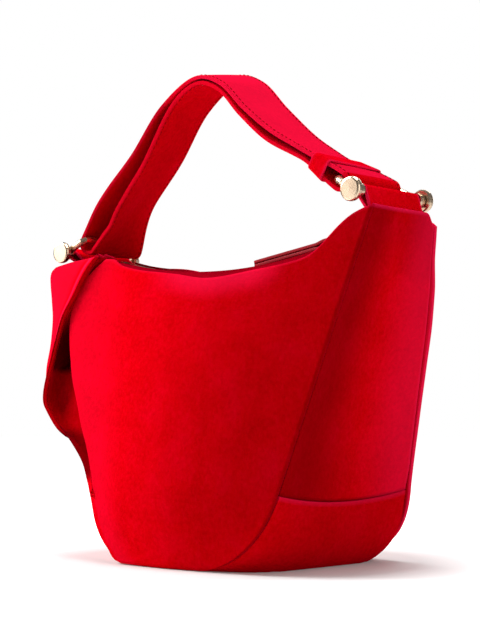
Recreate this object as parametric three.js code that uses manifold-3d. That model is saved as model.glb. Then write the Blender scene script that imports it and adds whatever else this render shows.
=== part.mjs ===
// Bucket bag: two panels sewn to a gusset-base-gusset band, a curved zip under the rim,
// and a doubled strap handle carried by two pinned metal bows. Millimetres, +Z up, front at -Y.
import * as THREE from "three";
import Module from "manifold-3d";
import { mergeVertices } from "three/addons/utils/BufferGeometryUtils.js";

// ---- driving dimensions -------------------------------------------------------------
const GAP = 0.3; // clearance kept between pieces that touch
const SKIN = 2.0; // suede thickness of the outer panels
const LINING = 1.0;

const SEAM_HEIGHT = 44; // height where the gussets meet the base
// Each end of the bag: its reach at the seam height, its outward lean in mm per mm of height,
// and the radius of its rounding from the floor up to the seam.
const LEFT = { seam: 76.5, lean: 0.325, radius: 50 };
const RIGHT = { seam: 83.5, lean: 0.2785, radius: 60.2 };
const BOARD_HALF_LENGTH = 25;
const TOP_HALF_DEPTH = 29.4; // half depth of the gussets at the rim
const SEAM_HALF_DEPTH = 59; // half depth where the gussets meet the base
const BASE_HALF_DEPTH = 66; // half depth of the base on the floor
const RIGHT_TOP = 206;
const LEFT_TOP = 190;
const LINING_TOP = 180;

// Height of the panels' top edge across the bag, from the left ear (-1) to the right ear (1).
const RIM = [
  [-1, 191], [-0.69, 189], [-0.41, 180.5], [-0.1, 175], [0.14, 170.5], [0.4, 173],
  [0.66, 176.5], [0.775, 181], [0.83, 190], [0.88, 198.5], [0.94, 203], [1, 206],
];
// How far the slumped left gusset swells outward at each height.
const LEFT_SWELL = [
  [44, 0], [58, 1], [68, 5], [80, 16], [92, 25], [104, 28], [130, 24], [160, 19], [190, 15],
];

const ZIP_CENTRE_X = -3;
const ZIP_RADIUS = 386; // the zip hangs in an arc of this radius
const ZIP_LOW_Z = 177;
const ZIP_HALF_ANGLE = 14.6; // degrees, each way, of the toothed length
const TOOTH_PITCH = 3.2;
const TOOTH_HEIGHT = 3.0;
const TAPE_INNER = 3.6;
const FACING_EDGE = 10.5; // distance of the facings' free edges from the middle of the zip
const TAPE_THICKNESS = 0.8;
const SLIDER_ANGLE = 14.0; // closed position, at the right end

const PIN = { left: [-133.5, 198], right: [116, 215] };
const LEFT_YAW = 4; // degrees; the slumped left ear turns its pin a little toward the front
const PIN_RADIUS = 2;
const KNOB_RADIUS = 7;
const KNOB_THICKNESS = 4.2;
const KNOB_FACE = 35.5; // from the middle of the pin to a knob's outer face
const BOW_ARM = 17.5; // pin centre to crossbar centre
const BOW_RISE = 27; // degrees above level, leaning toward the middle of the bag
const BOW_HALF_SPAN = 28.4;
const BOW_WIRE = 2.25;
const TAB_HALF_WIDTH = 25;
const TAB_PLY = 3.2;

const STRAP_HALF_WIDTH = 25;
const STRAP_PLY = 2.6;
// Middle line of the doubled strap, from the left bow over the top to the right bow.
const STRAP_LINE = [
  [-119.3, 203.5], [-105.8, 229], [-75, 258.5], [-48.5, 288], [-19.5, 302.5], [0.5, 296],
  [20, 277.5], [43.5, 258], [63.5, 245.3], [82.5, 233.5], [100.4, 222.1],
];
// How far the strap's back edge lies toward the left, per mm of half width, along its length.
const STRAP_LEAN = [
  [0, 0.07], [0.07, 0.1], [0.16, 0.13], [0.27, 0.17], [0.36, 0.19], [0.5, 0.2], [0.6, 0.18],
  [0.7, 0.16], [0.8, 0.16], [0.88, 0.14], [0.95, 0.05], [1, 0],
];
const PLY_SPREAD_END = 5.2; // half distance between the two plies at the bows
const PLY_SPREAD_MIDDLE = 2.1;
const KEEPER_START = 0.905;
const KEEPER_END = 0.955;

// ---- materials ----------------------------------------------------------------------
const paint = (color, roughness, metalness = 0) => () =>
  new THREE.MeshStandardMaterial({ color, roughness, metalness });
const suede = paint(0xc4122a, 0.95);
const darkSuede = paint(0x8e0f20, 0.95);
const lining = paint(0x6f1a22, 0.9);
const board = paint(0x8a7a66, 0.9);
const tape = paint(0x8c1222, 0.85);
const leather = paint(0x5e0c18, 0.5);
const gold = paint(0xd9b877, 0.28, 1);

const bag = new THREE.Group();
bag.name = "bucket_bag";

function add(name, geometry, material) {
  const mesh = new THREE.Mesh(geometry, material());
  mesh.name = name;
  bag.add(mesh);
  return mesh;
}

// ---- small helpers ------------------------------------------------------------------
const radians = THREE.MathUtils.degToRad;
const lerp = THREE.MathUtils.lerp;
const smooth = (x) => THREE.MathUtils.smoothstep(x, 0, 1);
const steps = (count, from = 0, to = 1) =>
  Array.from({ length: count + 1 }, (_, i) => lerp(from, to, i / count));

// Smooth curve through [x, y] points, read at any x.
function through(points) {
  return (x) => {
    const last = points.length - 2;
    let i = points.findIndex((p) => p[0] > x) - 1;
    if (i < 0) i = x <= points[0][0] ? 0 : last;
    const [x0, y0] = points[i];
    const [x1, y1] = points[i + 1];
    const slope = (a, b) => (points[b][1] - points[a][1]) / (points[b][0] - points[a][0]);
    const here = slope(i, i + 1);
    const before = i > 0 ? slope(i - 1, i + 1) : here;
    const after = i < last ? slope(i, i + 2) : here;
    const h = x1 - x0;
    const t = THREE.MathUtils.clamp((x - x0) / h, 0, 1);
    const hermite = [2 * t ** 3 - 3 * t ** 2 + 1, t ** 3 - 2 * t ** 2 + t,
      3 * t ** 2 - 2 * t ** 3, t ** 3 - t ** 2];
    return hermite[0] * y0 + hermite[1] * h * before + hermite[2] * y1 + hermite[3] * h * after;
  };
}

// Closed body from points and triangles, turned so that its faces point outward.
function closedBody(points, triangles) {
  let volume = 0;
  const cross = new THREE.Vector3();
  for (const [a, b, c] of triangles) {
    volume += points[a].dot(cross.crossVectors(points[b], points[c]));
  }
  const facing = volume < 0 ? triangles.map(([a, b, c]) => [a, c, b]) : triangles;
  const geometry = new THREE.BufferGeometry().setFromPoints(points);
  geometry.setIndex(facing.flat());
  geometry.computeVertexNormals();
  return geometry;
}

// Closed sheet between two grids of points, outer and inner, each grid[row][column].
function slab(outer, inner) {
  const rows = outer.length;
  const columns = outer[0].length;
  const points = [...outer.flat(), ...inner.flat()];
  const offset = rows * columns;
  const at = (row, column) => row * columns + column;
  const triangles = [];
  const quad = (a, b, c, d) => triangles.push([a, b, c], [a, c, d]);
  for (let r = 0; r < rows - 1; r += 1) {
    for (let c = 0; c < columns - 1; c += 1) {
      const corners = [at(r, c), at(r, c + 1), at(r + 1, c + 1), at(r + 1, c)];
      quad(...corners);
      quad(...corners.reverse().map((i) => i + offset));
    }
  }
  for (let r = 0; r < rows - 1; r += 1) {
    quad(at(r, 0), at(r + 1, 0), at(r + 1, 0) + offset, at(r, 0) + offset);
    const c = columns - 1;
    quad(at(r + 1, c), at(r, c), at(r, c) + offset, at(r + 1, c) + offset);
  }
  for (let c = 0; c < columns - 1; c += 1) {
    quad(at(0, c + 1), at(0, c), at(0, c) + offset, at(0, c + 1) + offset);
    const r = rows - 1;
    quad(at(r, c), at(r, c + 1), at(r, c + 1) + offset, at(r, c) + offset);
  }
  return closedBody(points, triangles);
}

// Closed ring of stations, each a list of cross-section points.
function ring(stations) {
  const size = stations[0].length;
  const points = stations.flat();
  const triangles = [];
  for (let s = 0; s < stations.length; s += 1) {
    const next = (s + 1) % stations.length;
    for (let k = 0; k < size; k += 1) {
      const m = (k + 1) % size;
      const corners = [s * size + k, s * size + m, next * size + m, next * size + k];
      triangles.push([corners[0], corners[1], corners[2]], [corners[0], corners[2], corners[3]]);
    }
  }
  return closedBody(points, triangles);
}

const xyz = (x, y, z) => new THREE.Vector3(x, y, z);

// ---- the bag's shape ----------------------------------------------------------------
const rimHeight = through(RIM);
const leftSwell = through(LEFT_SWELL);

// Where an end's rounding leaves the floor, measured from the middle of the bag.
const flatEnd = ({ seam, radius }) => seam - Math.sqrt(radius ** 2 - (radius - SEAM_HEIGHT) ** 2);

// Reach of one end at a height: a rounded corner, then a straight leaning side.
function endReach(end, z) {
  if (z >= SEAM_HEIGHT) return end.seam + end.lean * (z - SEAM_HEIGHT);
  const drop = end.radius - Math.max(z, 0);
  return flatEnd(end) + Math.sqrt(end.radius ** 2 - drop ** 2);
}

// X of a point part of the way across the bag, from -1 at the left seam to 1 at the right.
function acrossBag(across, z, inset = 0) {
  const half = (endReach(LEFT, z) + endReach(RIGHT, z)) / 2 - inset;
  return (endReach(RIGHT, z) - endReach(LEFT, z)) / 2 + across * half;
}

// Half depth at the seams between the panels and the band.
function seamDepth(z) {
  if (z < SEAM_HEIGHT) return lerp(BASE_HALF_DEPTH, SEAM_HALF_DEPTH, z / SEAM_HEIGHT);
  return lerp(SEAM_HALF_DEPTH, TOP_HALF_DEPTH, (z - SEAM_HEIGHT) / (RIGHT_TOP - SEAM_HEIGHT));
}

// The panels belly out between their seams.
function panelDepth(across, z) {
  const belly = 2 + 12 * smooth(z / 50) - 5 * smooth((z - 100) / 90);
  return seamDepth(z) + belly * (1 - across ** 2);
}

// ---- outer panels -------------------------------------------------------------------
const PANEL_ROWS = [0.004, 0.012, 0.035, 0.07, 0.13, 0.21, 0.33, 0.47, 0.6, 0.74, 0.88, 1];

function panelGrid(side, inset) {
  return PANEL_ROWS.map((fraction) => steps(22, -1, 1).map((across) => {
    const z = rimHeight(across) * fraction;
    return xyz(acrossBag(across, z), side * (panelDepth(across, z) + 1 - inset), z);
  }));
}

add("front_panel", slab(panelGrid(-1, 0), panelGrid(-1, SKIN)), suede);
add("back_panel", slab(panelGrid(1, 0), panelGrid(1, SKIN)), suede);

// ---- gussets and base ---------------------------------------------------------------
const BAND_CLEARANCE = SKIN / 2 + GAP;

function gussetGrid(end, top, swell, inset) {
  const heights = steps(12, SEAM_HEIGHT + GAP, top);
  return heights.map((z) => steps(10, -1, 1).map((across) => {
    const out = endReach(end, z) - inset + swell(z) * (1 - across ** 2) ** 0.7;
    return xyz(end === LEFT ? -out : out, across * (seamDepth(z) - BAND_CLEARANCE), z);
  }));
}

const rightSwell = () => -1.5;
add("right_gusset", slab(gussetGrid(RIGHT, RIGHT_TOP, rightSwell, 0),
  gussetGrid(RIGHT, RIGHT_TOP, rightSwell, SKIN)), suede);
add("left_gusset", slab(gussetGrid(LEFT, LEFT_TOP - 2, leftSwell, 0),
  gussetGrid(LEFT, LEFT_TOP - 2, leftSwell, SKIN)), suede);

// Stations along the base: down the left rounding, across the flat, up the right rounding.
function baseStations() {
  const rounding = (end, sign) => {
    const top = Math.acos(1 - (SEAM_HEIGHT - 2 * GAP) / end.radius);
    return steps(9, top, 0).map((angle) => ({ end, sign, angle, x: sign * flatEnd(end) }));
  };
  const middle = { end: RIGHT, sign: 1, angle: 0, x: 0 };
  return [...rounding(LEFT, -1), middle, ...rounding(RIGHT, 1).reverse()];
}

function baseGrid(inset) {
  return baseStations().map(({ end, sign, angle, x }) => {
    const radius = end.radius - inset;
    const height = end.radius * (1 - Math.cos(angle));
    const centreBelly = x === 0 ? 2 : 0;
    const depth = seamDepth(height) + centreBelly - BAND_CLEARANCE;
    return steps(8, -1, 1).map((across) => xyz(x + sign * radius * Math.sin(angle),
      across * depth, end.radius - radius * Math.cos(angle)));
  });
}

add("base_panel", slab(baseGrid(0), baseGrid(SKIN)), suede);

const BOARD_THICKNESS = 2;
const boardZ = SKIN + GAP + BOARD_THICKNESS / 2;
const boardGeometry = new THREE.BoxGeometry(BOARD_HALF_LENGTH * 2, 110, BOARD_THICKNESS);
add("base_board", boardGeometry.translate(0, 0, boardZ), board);

// ---- lining: one open-topped sack ---------------------------------------------------
const LINING_FLOOR = SKIN + GAP + BOARD_THICKNESS + GAP * 3;

function liningRing(fraction, inset) {
  const points = [];
  const put = (side, along, across) => {
    const rim = Math.min(rimHeight(along) - 8, LINING_TOP);
    const z = lerp(LINING_FLOOR, rim, fraction) + (fraction === 0 ? inset : 0);
    const room = SKIN / 2 + GAP * 2 + inset;
    const depth = across === null ? panelDepth(along, z) : seamDepth(z);
    const y = (across === null ? side : across) * (depth - room - SKIN);
    points.push(xyz(acrossBag(along, z, SKIN + GAP + 3.6 + inset), y, z));
  };
  steps(12, -1, 1).slice(0, -1).forEach((along) => put(-1, along, null));
  steps(5, -1, 1).slice(0, -1).forEach((across) => put(0, 1, across));
  steps(12, 1, -1).slice(0, -1).forEach((along) => put(1, along, null));
  steps(5, 1, -1).slice(0, -1).forEach((across) => put(0, -1, across));
  return points;
}

function sack() {
  const levels = [0, 0.04, 0.1, 0.2, 0.36, 0.58, 0.8, 1];
  const rings = [...levels.map((f) => liningRing(f, 0)),
    ...levels.slice().reverse().map((f) => liningRing(f, LINING))];
  const size = rings[0].length;
  const points = [...rings.flat(), xyz(0, 0, LINING_FLOOR), xyz(0, 0, LINING_FLOOR + LINING)];
  const triangles = [];
  for (let r = 0; r < rings.length - 1; r += 1) {
    for (let k = 0; k < size; k += 1) {
      const m = (k + 1) % size;
      const [a, b, c, d] = [r * size + k, r * size + m, (r + 1) * size + m, (r + 1) * size + k];
      triangles.push([a, b, c], [a, c, d]);
    }
  }
  const last = (rings.length - 1) * size;
  for (let k = 0; k < size; k += 1) {
    const m = (k + 1) % size;
    triangles.push([rings.length * size, m, k]);
    triangles.push([rings.length * size + 1, last + k, last + m]);
  }
  return closedBody(points, triangles);
}

add("lining", sack(), lining);

// ---- zip: facings, tapes, teeth, stops ----------------------------------------------
const zipPoint = (degrees, y, lift) => {
  const a = radians(degrees);
  const reach = ZIP_RADIUS - lift;
  return xyz(ZIP_CENTRE_X + reach * Math.sin(a), y, ZIP_LOW_Z + ZIP_RADIUS - reach * Math.cos(a));
};
const TAPE_HALF_ANGLE = ZIP_HALF_ANGLE + 1.1;

function tapeGrid(side, lift) {
  return steps(22, -TAPE_HALF_ANGLE, TAPE_HALF_ANGLE).map((degrees) =>
    [TAPE_INNER, FACING_EDGE - GAP].map((y) => zipPoint(degrees, side * y, lift)));
}

const FACING_SPAN = 0.92;
const FACING_THICKNESS = 1.4;

function facingGrid(side, drop) {
  return steps(22, -1, 1).map((along) => {
    const across = along * FACING_SPAN;
    const z = rimHeight(across) - 0.6;
    const start = xyz(acrossBag(across, z, 2), 0, z - drop);
    start.y = side * (panelDepth(across, z) + 1 - SKIN - GAP * 2);
    const lift = TAPE_THICKNESS / 2 + GAP + FACING_THICKNESS - drop;
    const end = zipPoint(along * TAPE_HALF_ANGLE, side * FACING_EDGE, lift);
    return steps(3).map((t) => start.clone().lerp(end, t));
  });
}

// One side's teeth: a comb whose teeth reach past the middle line between the other's.
function teethComb(side) {
  const pitchAngle = THREE.MathUtils.radToDeg(TOOTH_PITCH / ZIP_RADIUS);
  const count = Math.floor((2 * ZIP_HALF_ANGLE) / pitchAngle);
  const shift = side > 0 ? 0.5 : 0;
  const section = [];
  for (let i = 0; i < count; i += 1) {
    const start = -ZIP_HALF_ANGLE + (i + shift) * pitchAngle;
    const profile = [[0.02, 1.15], [0.1, -1.05], [0.36, -1.05], [0.44, 1.15]];
    for (const [along, reach] of profile) section.push([start + along * pitchAngle, reach]);
  }
  const stations = section.map(([degrees, reach]) => [
    zipPoint(degrees, side * reach, -TOOTH_HEIGHT / 2),
    zipPoint(degrees, side * reach, TOOTH_HEIGHT / 2),
    zipPoint(degrees, side * (TAPE_INNER - GAP), TOOTH_HEIGHT / 2),
    zipPoint(degrees, side * (TAPE_INNER - GAP), -TOOTH_HEIGHT / 2),
  ]);
  return bar(stations);
}

// Solid bar through a run of four-cornered stations, closed at both ends.
function bar(stations) {
  const size = stations[0].length;
  const points = stations.flat();
  const triangles = [];
  for (let s = 0; s < stations.length - 1; s += 1) {
    for (let k = 0; k < size; k += 1) {
      const m = (k + 1) % size;
      const [a, b] = [s * size + k, s * size + m];
      triangles.push([a, b, b + size], [a, b + size, a + size]);
    }
  }
  const last = (stations.length - 1) * size;
  triangles.push([0, 2, 1], [0, 3, 2], [last, last + 1, last + 2], [last, last + 2, last + 3]);
  return closedBody(points, triangles);
}

// Places a piece drawn level around the origin onto the zip at an angle along its arc.
function ontoZip(geometry, degrees, lift = 0) {
  const place = new THREE.Matrix4().makeRotationY(-radians(degrees));
  place.setPosition(zipPoint(degrees, 0, lift));
  return geometry.applyMatrix4(place);
}

for (const [side, label] of [[-1, "front"], [1, "back"]]) {
  add(`zip_facing_${label}`, slab(facingGrid(side, 0), facingGrid(side, FACING_THICKNESS)),
    darkSuede);
  add(`zip_tape_${label}`, slab(tapeGrid(side, TAPE_THICKNESS / 2),
    tapeGrid(side, -TAPE_THICKNESS / 2)), tape);
  add(`zip_teeth_${label}`, teethComb(side), gold);
}
for (const [side, label] of [[-1, "left"], [1, "right"]]) {
  const stop = new THREE.BoxGeometry(3, 6, 3.4);
  add(`zip_stop_${label}`, ontoZip(stop, side * (ZIP_HALF_ANGLE + 0.75)), gold);
}

// ---- solids cut with booleans -------------------------------------------------------
const wasm = await Module();
wasm.setup();

function toManifold(geometry) {
  const bare = geometry.clone();
  bare.deleteAttribute("normal");
  bare.deleteAttribute("uv");
  const merged = mergeVertices(bare, 1e-4);
  return new wasm.Manifold(new wasm.Mesh({
    numProp: 3,
    vertProperties: new Float32Array(merged.attributes.position.array),
    triVerts: new Uint32Array(merged.index.array),
  }));
}

function fromManifold(solid) {
  const { vertProperties, triVerts, numProp } = solid.getMesh();
  const geometry = new THREE.BufferGeometry();
  const positions = new Float32Array((vertProperties.length / numProp) * 3);
  for (let i = 0; i < vertProperties.length / numProp; i += 1) {
    for (let k = 0; k < 3; k += 1) positions[i * 3 + k] = vertProperties[i * numProp + k];
  }
  geometry.setAttribute("position", new THREE.BufferAttribute(positions, 3));
  geometry.setIndex(new THREE.BufferAttribute(new Uint32Array(triVerts), 1));
  geometry.computeVertexNormals();
  return geometry;
}

function combine(solids, holes = []) {
  const body = solids.map(toManifold).reduce((a, b) => a.add(b));
  return fromManifold(holes.map(toManifold).reduce((a, b) => a.subtract(b), body));
}

const box = (x, y, z, w, d, h) => new THREE.BoxGeometry(w, d, h).translate(x, y, z);
const rodAlongY = (x, z, radius, from, to, sides = 24) =>
  new THREE.CylinderGeometry(radius, radius, to - from, sides).translate(x, (from + to) / 2, z);

function tubeThrough(points, radius, segments) {
  const curve = new THREE.CatmullRomCurve3(points, false, "centripetal");
  const circle = new THREE.Shape();
  circle.absarc(0, 0, radius, 0, Math.PI * 2);
  return new THREE.ExtrudeGeometry(circle, { steps: segments, extrudePath: curve,
    curveSegments: 6, bevelEnabled: false });
}

// ---- zip slider and pull, drawn level at the origin ---------------------------------
const SLIDER_LENGTH = 13;
const SLIDER_WIDTH = 9.5;
const PLATE = 1.3;
const plateZ = TOOTH_HEIGHT / 2 + GAP + PLATE / 2;
const bailPoints = [xyz(-4.5, 0, plateZ), xyz(-4.6, 0, plateZ + 4), xyz(-1.5, 0, plateZ + 5.4),
  xyz(2.5, 0, plateZ + 4.6), xyz(4.2, 0, plateZ)];
const sliderBody = combine([box(0, 0, plateZ, SLIDER_LENGTH, SLIDER_WIDTH, PLATE),
  tubeThrough(bailPoints, 0.9, 12)]);
add("zip_slider", ontoZip(sliderBody, SLIDER_ANGLE), gold);
add("zip_slider_under", ontoZip(box(0, 0, -plateZ, SLIDER_LENGTH, SLIDER_WIDTH, PLATE),
  SLIDER_ANGLE), gold);

const LINK_WIRE = 0.9;
const TAB_LEATHER = 2.1;
const foldRadius = LINK_WIRE + GAP;
const linkZ = TOOTH_HEIGHT / 2 + GAP + foldRadius + TAB_LEATHER;
const LINK_NEAR = -2.4;
const LINK_FAR = -13.4;
const LINK_HALF = 7.3;
const linkSide = (y) => new THREE.CylinderGeometry(LINK_WIRE, LINK_WIRE, LINK_NEAR - LINK_FAR, 12)
  .rotateZ(Math.PI / 2).translate((LINK_NEAR + LINK_FAR) / 2, y, linkZ);
const linkEnd = (x) => rodAlongY(x, linkZ, LINK_WIRE, -LINK_HALF - LINK_WIRE * 0.9,
  LINK_HALF + LINK_WIRE * 0.9, 12);
const link = combine([linkSide(-LINK_HALF), linkSide(LINK_HALF), linkEnd(LINK_NEAR),
  linkEnd(LINK_FAR)]);
add("zip_pull_link", ontoZip(link, SLIDER_ANGLE), gold);

// Leather tab: one strip folded round the link, its two plies lying flat on each other.
const TAB_LENGTH = 62;
const TAB_PULL_WIDTH = 12;
const tabShape = new THREE.Shape();
tabShape.absarc(LINK_FAR, 0, foldRadius + TAB_LEATHER, -Math.PI / 2, Math.PI / 2);
tabShape.lineTo(LINK_FAR - 7, TAB_LEATHER + 0.3);
tabShape.lineTo(LINK_FAR - TAB_LENGTH, TAB_LEATHER + 0.3);
tabShape.lineTo(LINK_FAR - TAB_LENGTH, 0.2);
tabShape.lineTo(LINK_FAR - 7, 0.2);
tabShape.absarc(LINK_FAR, 0, foldRadius, Math.PI / 2, -Math.PI / 2, true);
tabShape.lineTo(LINK_FAR - 7, -0.2);
tabShape.lineTo(LINK_FAR - TAB_LENGTH, -0.2);
tabShape.lineTo(LINK_FAR - TAB_LENGTH, -TAB_LEATHER - 0.3);
tabShape.lineTo(LINK_FAR - 7, -TAB_LEATHER - 0.3);
const pullTab = new THREE.ExtrudeGeometry(tabShape, { depth: TAB_PULL_WIDTH, bevelEnabled: false,
  curveSegments: 8 });
pullTab.rotateX(Math.PI / 2).translate(0, TAB_PULL_WIDTH / 2, linkZ);
const droop = new THREE.Matrix4().makeTranslation(LINK_FAR, 0, linkZ)
  .multiply(new THREE.Matrix4().makeRotationY(radians(6)))
  .multiply(new THREE.Matrix4().makeTranslation(-LINK_FAR, 0, -linkZ));
add("zip_pull_tab", ontoZip(pullTab.applyMatrix4(droop), SLIDER_ANGLE), leather);

// ---- pins, knobs, bows and tabs -----------------------------------------------------
const knobInner = KNOB_FACE - KNOB_THICKNESS;

function knob(side, [x, z]) {
  const r = KNOB_RADIUS;
  const t = KNOB_THICKNESS;
  const bore = PIN_RADIUS + GAP;
  const profile = [[0, 2.6], [bore, 2.6], [bore, 0], [r - 1, 0], [r - 0.2, 0.5], [r, 1.3],
    [r, t - 1.2], [r - 0.4, t - 0.4], [r - 1.4, t - 0.05], [0, t]];
  const lathe = new THREE.LatheGeometry(profile.map((p) => new THREE.Vector2(...p)), 28);
  if (side < 0) lathe.rotateX(Math.PI);
  return lathe.translate(x, side * knobInner, z);
}

function bow([x, z], side) {
  const rise = radians(BOW_RISE);
  const inward = -side;
  const at = (reach, y) => xyz(x + inward * Math.cos(rise) * reach, y, z + Math.sin(rise) * reach);
  const corner = 4.5;
  const w = BOW_HALF_SPAN;
  const arms = [at(0, -w), at(BOW_ARM - corner, -w), at(BOW_ARM - 1.2, -w + 1.2),
    at(BOW_ARM, -w + corner), at(BOW_ARM, 0), at(BOW_ARM, w - corner),
    at(BOW_ARM - 1.2, w - 1.2), at(BOW_ARM - corner, w), at(0, w)];
  const eye = (from, to) => rodAlongY(x, z, 4.2, from, to);
  const eyes = [eye(-w - BOW_WIRE, -w + BOW_WIRE), eye(w - BOW_WIRE, w + BOW_WIRE)];
  const bore = rodAlongY(x, z, PIN_RADIUS + GAP, -w - 8, w + 8);
  return combine([tubeThrough(arms, BOW_WIRE, 30), ...eyes], [bore]);
}

// Tab: wraps the pin, then runs down between the gusset and the lining.
function tab([x, z], knee, foot) {
  const inner = PIN_RADIUS + GAP;
  const outer = inner + TAB_PLY * 0.72;
  const toKnee = new THREE.Vector2(knee[0] - x, knee[1] - z).normalize();
  const normal = new THREE.Vector2(-toKnee.y, toKnee.x);
  const start = normal.angle();
  const half = TAB_PLY / 2;
  const shape = new THREE.Shape();
  const tangentEnd = (point, sign) => [point[0] + sign * normal.x * half,
    point[1] + sign * normal.y * half];
  shape.absarc(x, z, outer, start, start + Math.PI, false);
  shape.lineTo(...tangentEnd(knee, -1));
  shape.lineTo(foot[0] - half * Math.sign(normal.x), foot[1]);
  shape.lineTo(foot[0] + half * Math.sign(normal.x), foot[1]);
  shape.lineTo(...tangentEnd(knee, 1));
  const hole = new THREE.Path();
  hole.absarc(x, z, inner, 0, Math.PI * 2, true);
  shape.holes.push(hole);
  const body = new THREE.ExtrudeGeometry(shape, { depth: TAB_HALF_WIDTH * 2, bevelEnabled: false,
    curveSegments: 14 });
  return body.rotateX(Math.PI / 2).translate(0, TAB_HALF_WIDTH, 0);
}

for (const [label, side, end] of [["left", -1, LEFT], ["right", 1, RIGHT]]) {
  const centre = PIN[label];
  const top = label === "left" ? LEFT_TOP : RIGHT_TOP;
  const swell = label === "left" ? -2.4 : -1.5;
  const reach = (z) => endReach(end, z) + swell - SKIN - GAP - TAB_PLY / 2 - 0.6;
  const knee = [side * reach(top - 3), top - 3];
  const footHeight = Math.max(top - 20, LINING_TOP + 4);
  const foot = [side * reach(footHeight), footHeight];
  const yaw = label === "left" ? radians(LEFT_YAW) : 0;
  const turned = (geometry) => geometry.translate(-centre[0], 0, 0).rotateZ(yaw)
    .translate(centre[0], 0, 0);
  const pin = rodAlongY(...centre, PIN_RADIUS, -knobInner - 2.2, knobInner + 2.2);
  add(`${label}_pin`, turned(pin), gold);
  add(`${label}_front_knob`, turned(knob(-1, centre)), gold);
  add(`${label}_back_knob`, turned(knob(1, centre)), gold);
  add(`${label}_bow`, turned(bow(centre, side)), gold);
  add(`${label}_tab`, turned(tab(centre, knee, foot)), suede);
}

// ---- strap handle -------------------------------------------------------------------
const strapCurve = new THREE.CatmullRomCurve3(STRAP_LINE.map(([x, z]) => xyz(x, 0, z)), false,
  "centripetal");

// The strap leans back and to the left as it passes over the top.
const leanLeft = through(STRAP_LEAN);
const strapLean = (t) => xyz(-leanLeft(t), 1, 0.2 * Math.sin(Math.PI * t) ** 2);
const plySpread = (t) => lerp(PLY_SPREAD_MIDDLE, PLY_SPREAD_END,
  smooth(1 - Math.min(t, 1 - t) / 0.14));

// Closed path round the doubled strap, a given distance outside the middle of its plies.
function strapPath(offset) {
  const path = [];
  const place = (t, turn) => {
    const centre = strapCurve.getPointAt(t);
    const along = strapCurve.getTangentAt(t);
    const out = xyz(-along.z, 0, along.x).applyAxisAngle(xyz(0, 1, 0), turn);
    path.push({ t, point: centre.addScaledVector(out, plySpread(t) + offset) });
  };
  steps(40).forEach((t) => place(t, 0));
  steps(8).slice(1, -1).forEach((s) => place(1, s * Math.PI));
  steps(40, 1, 0).forEach((t) => place(t, Math.PI));
  steps(8).slice(1, -1).forEach((s) => place(0, Math.PI + s * Math.PI));
  return path;
}

function strapLoop() {
  const outer = strapPath(STRAP_PLY / 2);
  const inner = strapPath(-STRAP_PLY / 2);
  const stations = outer.map(({ t, point }, i) => {
    const reach = strapLean(t).multiplyScalar(STRAP_HALF_WIDTH);
    return [point.clone().sub(reach), point.clone().add(reach),
      inner[i].point.clone().add(reach), inner[i].point.clone().sub(reach)];
  });
  return ring(stations);
}

add("handle_strap", strapLoop(), suede);

// Keeper: a sewn band round both plies, next to the right bow.
function keeperSleeve() {
  const wall = 1.2;
  const section = (t, clearance) => {
    const centre = strapCurve.getPointAt(t);
    const along = strapCurve.getTangentAt(t);
    const out = xyz(-along.z, 0, along.x);
    const high = plySpread(t) + STRAP_PLY / 2 + clearance;
    const reach = strapLean(t).multiplyScalar(STRAP_HALF_WIDTH + clearance);
    return [[-1, -1], [1, -1], [1, 1], [-1, 1]].map(([v, w]) =>
      centre.clone().addScaledVector(out, v * high).addScaledVector(reach, w));
  };
  const stops = steps(6, KEEPER_START, KEEPER_END);
  const stations = [...stops.map((t) => section(t, GAP + wall)),
    ...stops.reverse().map((t) => section(t, GAP))];
  return ring(stations);
}

add("strap_keeper", keeperSleeve(), suede);

export default bag;
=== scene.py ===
"""Bucket bag in red suede with gold hardware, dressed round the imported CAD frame.

Lengths in this file are millimetres and become metres when a mesh is made. The frame is the
CAD's own: origin on the floor under the bag, +Z up, +Y to the back.
"""

import math

import bmesh
import bpy
from mathutils import Matrix, Vector, noise


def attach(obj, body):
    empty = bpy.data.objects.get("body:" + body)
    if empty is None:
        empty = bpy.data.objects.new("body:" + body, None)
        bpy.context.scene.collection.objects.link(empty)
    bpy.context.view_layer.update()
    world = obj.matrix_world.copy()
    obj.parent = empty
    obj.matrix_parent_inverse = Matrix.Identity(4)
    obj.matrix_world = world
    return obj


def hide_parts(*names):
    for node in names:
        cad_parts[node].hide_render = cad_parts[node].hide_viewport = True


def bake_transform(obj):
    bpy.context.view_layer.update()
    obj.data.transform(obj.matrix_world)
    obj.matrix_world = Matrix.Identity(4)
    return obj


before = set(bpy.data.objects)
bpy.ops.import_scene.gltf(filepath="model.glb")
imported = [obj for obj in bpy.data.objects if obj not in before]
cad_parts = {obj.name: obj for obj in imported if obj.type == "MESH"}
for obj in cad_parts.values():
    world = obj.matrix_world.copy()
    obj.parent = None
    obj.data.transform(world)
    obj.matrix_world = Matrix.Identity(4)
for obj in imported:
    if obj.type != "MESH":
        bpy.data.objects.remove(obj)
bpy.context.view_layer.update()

MM = 0.001

# ---- camera, lights and floor -------------------------------------------------------
CAMERA_AZIMUTH = 43.0
CAMERA_DISTANCE = 945.0
CAMERA_HEIGHT = 85.0
CAMERA_PITCH = 3.85
CAMERA_LENS = 85.6

turn = math.radians(CAMERA_AZIMUTH)
back = Vector((math.sin(turn), -math.cos(turn), 0))
camera = bpy.data.objects.new("camera", bpy.data.cameras.new("camera"))
camera.location = (back * CAMERA_DISTANCE + Vector((0, 0, CAMERA_HEIGHT))) * MM
tilt = math.radians(CAMERA_PITCH)
aim = Vector((-back.x * math.cos(tilt), -back.y * math.cos(tilt), math.sin(tilt)))
camera.rotation_mode = "QUATERNION"
camera.rotation_quaternion = aim.to_track_quat("-Z", "Y")
camera.data.lens = CAMERA_LENS
camera.data.clip_start = 0.01
bpy.context.collection.objects.link(camera)
bpy.context.scene.camera = camera


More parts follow.
